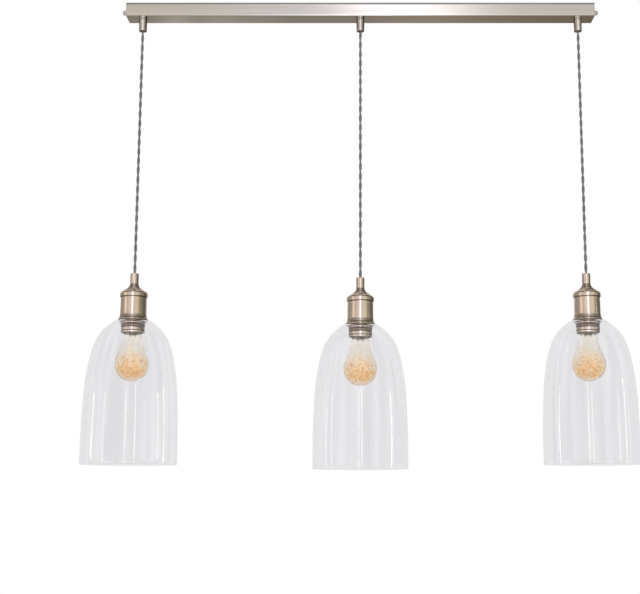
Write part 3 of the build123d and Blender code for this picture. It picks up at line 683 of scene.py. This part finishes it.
def wmath(op, a, b=None, clamp=False):
    m = wn("ShaderNodeMath", operation=op, use_clamp=clamp)
    wput(m.inputs[0], a)
    if b is not None:
        wput(m.inputs[1], b)
    return m.outputs[0]


def wramp(fac, stops, ease="LINEAR"):
    r = wn("ShaderNodeValToRGB")
    r.color_ramp.interpolation = ease
    els = r.color_ramp.elements
    while len(els) < len(stops):
        els.new(0.5)
    for e, (p, c) in zip(els, stops):
        e.position = p
        e.color = tuple(c) + (1.0,)
    wput(r.inputs["Fac"], fac)
    return r.outputs["Color"]


sep = wn("ShaderNodeSeparateXYZ")
wput(sep.inputs[0], wn("ShaderNodeTexCoord").outputs["Generated"])
# 0 behind the object, 0.25 at its left, 0.5 on the viewer's side, 0.75 at its right
az = wmath("ADD", wmath("DIVIDE", wmath("ARCTAN2", sep.outputs[0], wmath("MULTIPLY", sep.outputs[1], -1.0)), 2 * math.pi), 0.5)
el = wmath("MULTIPLY_ADD", sep.outputs[2], 0.5)
el.node.inputs[2].default_value = 0.5
around = wramp(az, [
    (0.00, (0.78, 0.74, 0.70)), (0.05, (0.76, 0.72, 0.67)), (0.10, (0.50, 0.48, 0.46)), (0.15, (0.42, 0.385, 0.35)),
    (0.186, (0.44, 0.375, 0.32)), (0.26, (0.54, 0.43, 0.345)), (0.297, (0.82, 0.67, 0.56)), (0.320, (1.36, 1.15, 1.03)),
    (0.343, (1.02, 0.85, 0.74)), (0.372, (0.74, 0.60, 0.50)), (0.425, (0.95, 0.81, 0.76)), (0.470, (1.04, 0.90, 0.93)),
    (0.484, (1.25, 1.12, 1.15)), (0.492, (2.35, 2.2, 2.3)), (0.508, (2.35, 2.2, 2.3)), (0.517, (1.15, 1.0, 0.95)),
    (0.530, (0.90, 0.79, 0.70)), (0.575, (0.88, 0.79, 0.69)), (0.622, (0.93, 0.845, 0.67)), (0.650, (0.74, 0.665, 0.49)),
    (0.678, (0.44, 0.39, 0.27)), (0.733, (0.33, 0.28, 0.215)), (0.806, (0.185, 0.165, 0.135)), (0.87, (0.17, 0.15, 0.12)),
    (0.925, (0.52, 0.47, 0.42)), (0.965, (0.62, 0.55, 0.49)), (1.00, (0.78, 0.74, 0.70))])
# what the bar's front face mirrors, higher up on the viewer's side
upper = wramp(az, [
    (0.00, (0.20, 0.19, 0.17)), (0.25, (0.22, 0.20, 0.18)), (0.36, (0.40, 0.37, 0.34)), (0.43, (0.80, 0.76, 0.71)),
    (0.4663, (0.85, 0.805, 0.75)),
    (0.4800, (0.87, 0.83, 0.78)), (0.4850, (0.94, 0.94, 0.99)), (0.4945, (0.98, 0.98, 1.06)), (0.4970, (1.02, 1.02, 1.10)),
    (0.4985, (2.05, 2.02, 2.20)), (0.5125, (2.05, 2.02, 2.18)), (0.5155, (1.30, 1.28, 1.35)), (0.5195, (1.01, 0.99, 0.98)),
    (0.5240, (0.87, 0.85, 0.83)), (0.5337, (0.89, 0.845, 0.86)), (0.57, (0.80, 0.76, 0.71)),
    (0.64, (0.40, 0.37, 0.34)), (0.75, (0.22, 0.20, 0.18)), (1.00, (0.20, 0.19, 0.17))])
behind = wramp(el, [
    (0.00, (0.30, 0.28, 0.25)), (0.30, (0.36, 0.33, 0.285)), (0.42, (0.55, 0.52, 0.47)), (0.50, (1.0, 1.0, 1.0)),
    (0.62, (1.05, 1.05, 1.05)), (0.72, (1.30, 1.28, 1.25)), (1.00, (1.4, 1.4, 1.4))])
before = wramp(el, [
    (0.00, (0.90, 1.0, 1.08)), (0.25, (0.95, 1.06, 1.17)), (0.40, (1.05, 1.12, 1.2)), (0.49, (1.0, 1.0, 1.0)),
    (0.62, (1.05, 1.05, 1.05)), (0.72, (1.22, 1.20, 1.16)), (1.00, (1.4, 1.4, 1.4))])
front_share = wmath("MULTIPLY_ADD", sep.outputs[1], -2.5, clamp=True)
front_share.node.inputs[2].default_value = 0.5
# low down behind: what the bar's underside mirrors, from its right end (0) to its left end (1)
wrapped = wmath("SUBTRACT", az, wmath("GREATER_THAN", az, 0.5))
along = wmath("MULTIPLY_ADD", wrapped, 10.0, clamp=True)
along.node.inputs[2].default_value = 0.5
patches = wramp(along, [
    (0.10, (1.0, 1.0, 1.0)), (0.195, (1.04, 1.04, 1.06)), (0.264, (1.15, 1.15, 1.18)), (0.335, (1.27, 1.27, 1.32)),
    (0.388, (1.47, 1.48, 1.56)), (0.441, (1.36, 1.37, 1.45)), (0.470, (1.32, 1.33, 1.40)), (0.495, (1.00, 1.00, 1.05)),
    (0.512, (1.18, 1.20, 1.28)), (0.566, (1.12, 1.16, 1.24)), (0.605, (1.10, 1.16, 1.26)), (0.637, (1.36, 1.44, 1.58)),
    (0.672, (1.27, 1.36, 1.50)), (0.690, (1.58, 1.69, 1.86)), (0.722, (1.56, 1.67, 1.84)), (0.735, (1.16, 1.24, 1.36)),
    (0.747, (1.30, 1.40, 1.55)), (0.758, (1.85, 1.98, 2.20)), (0.778, (1.85, 1.98, 2.20)), (0.797, (1.36, 1.45, 1.60)),
    (0.812, (1.00, 1.06, 1.12)), (0.830, (1.22, 1.28, 1.38)), (0.90, (1.0, 1.0, 1.0))])
low = wmath("MULTIPLY", wmath("SUBTRACT", 0.46, el), 20.0, clamp=True)
under = wn("ShaderNodeMix", data_type="RGBA", blend_type="MULTIPLY")
wput(under.inputs["Factor"], low)
wput(under.inputs["A"], behind)
wput(under.inputs["B"], patches)
behind = under.outputs["Result"]
hmix = wn("ShaderNodeMix", data_type="RGBA")
wput(hmix.inputs["Factor"], front_share)
wput(hmix.inputs["A"], behind)
wput(hmix.inputs["B"], before)
height = hmix.outputs["Result"]
mul = wn("ShaderNodeMix", data_type="RGBA", blend_type="MULTIPLY")
mul.inputs["Factor"].default_value = 1.0
wput(mul.inputs["A"], around)
wput(mul.inputs["B"], height)
# the upper half only from some way above the horizon, and only on the viewer's side
lift = wmath("MULTIPLY", wmath("DIVIDE", wmath("SUBTRACT", el, 0.625), 0.035, clamp=True), front_share)
both = wn("ShaderNodeMix", data_type="RGBA")
wput(both.inputs["Factor"], lift)
wput(both.inputs["A"], mul.outputs["Result"])
wput(both.inputs["B"], upper)
# steep above, what the domes of the lampholders mirror, is darker
roof = wn("ShaderNodeMix", data_type="RGBA", blend_type="MULTIPLY")
wput(roof.inputs["Factor"], wmath("MULTIPLY", wmath("SUBTRACT", el, 0.76), 9.0, clamp=True))
wput(roof.inputs["A"], both.outputs["Result"])
roof.inputs["B"].default_value = (0.66, 0.62, 0.58, 1.0)
# clear glass, looked through or mirroring, shows a pale plain backdrop with faint upright bands
lp = wn("ShaderNodeLightPath")
pan = wn("ShaderNodeMapping")
pan.inputs["Scale"].default_value = (58.0, 58.0, 2.0)
wput(pan.inputs["Vector"], wn("ShaderNodeTexCoord").outputs["Generated"])
band = wn("ShaderNodeTexNoise")
wput(band.inputs["Vector"], pan.outputs["Vector"])
band.inputs["Scale"].default_value = 1.0
band.inputs["Detail"].default_value = 1.5
pale = wramp(band.outputs["Fac"], [(0.34, (0.745, 0.729, 0.748)), (0.66, (0.864, 0.845, 0.862))])
clear_ray = wmath("MAXIMUM", lp.outputs["Is Transmission Ray"], lp.outputs["Is Singular Ray"])
see = wn("ShaderNodeMix", data_type="RGBA")
wput(see.inputs["Factor"], clear_ray)
wput(see.inputs["A"], roof.outputs["Result"])
wput(see.inputs["B"], pale)
cam_mix = wn("ShaderNodeMix", data_type="RGBA")
wput(cam_mix.inputs["Factor"], lp.outputs["Is Camera Ray"])
wput(cam_mix.inputs["A"], see.outputs["Result"])
cam_mix.inputs["B"].default_value = (1.0, 1.0, 1.0, 1.0)
bg = wn("ShaderNodeBackground")
wput(bg.inputs["Color"], cam_mix.outputs["Result"])
bg.inputs["Strength"].default_value = 1.0
wput(wn("ShaderNodeOutputWorld").inputs["Surface"], bg.outputs["Background"])

SCENE.cycles.max_bounces = 32
SCENE.cycles.transmission_bounces = 32
SCENE.cycles.glossy_bounces = 24
SCENE.cycles.transparent_max_bounces = 16
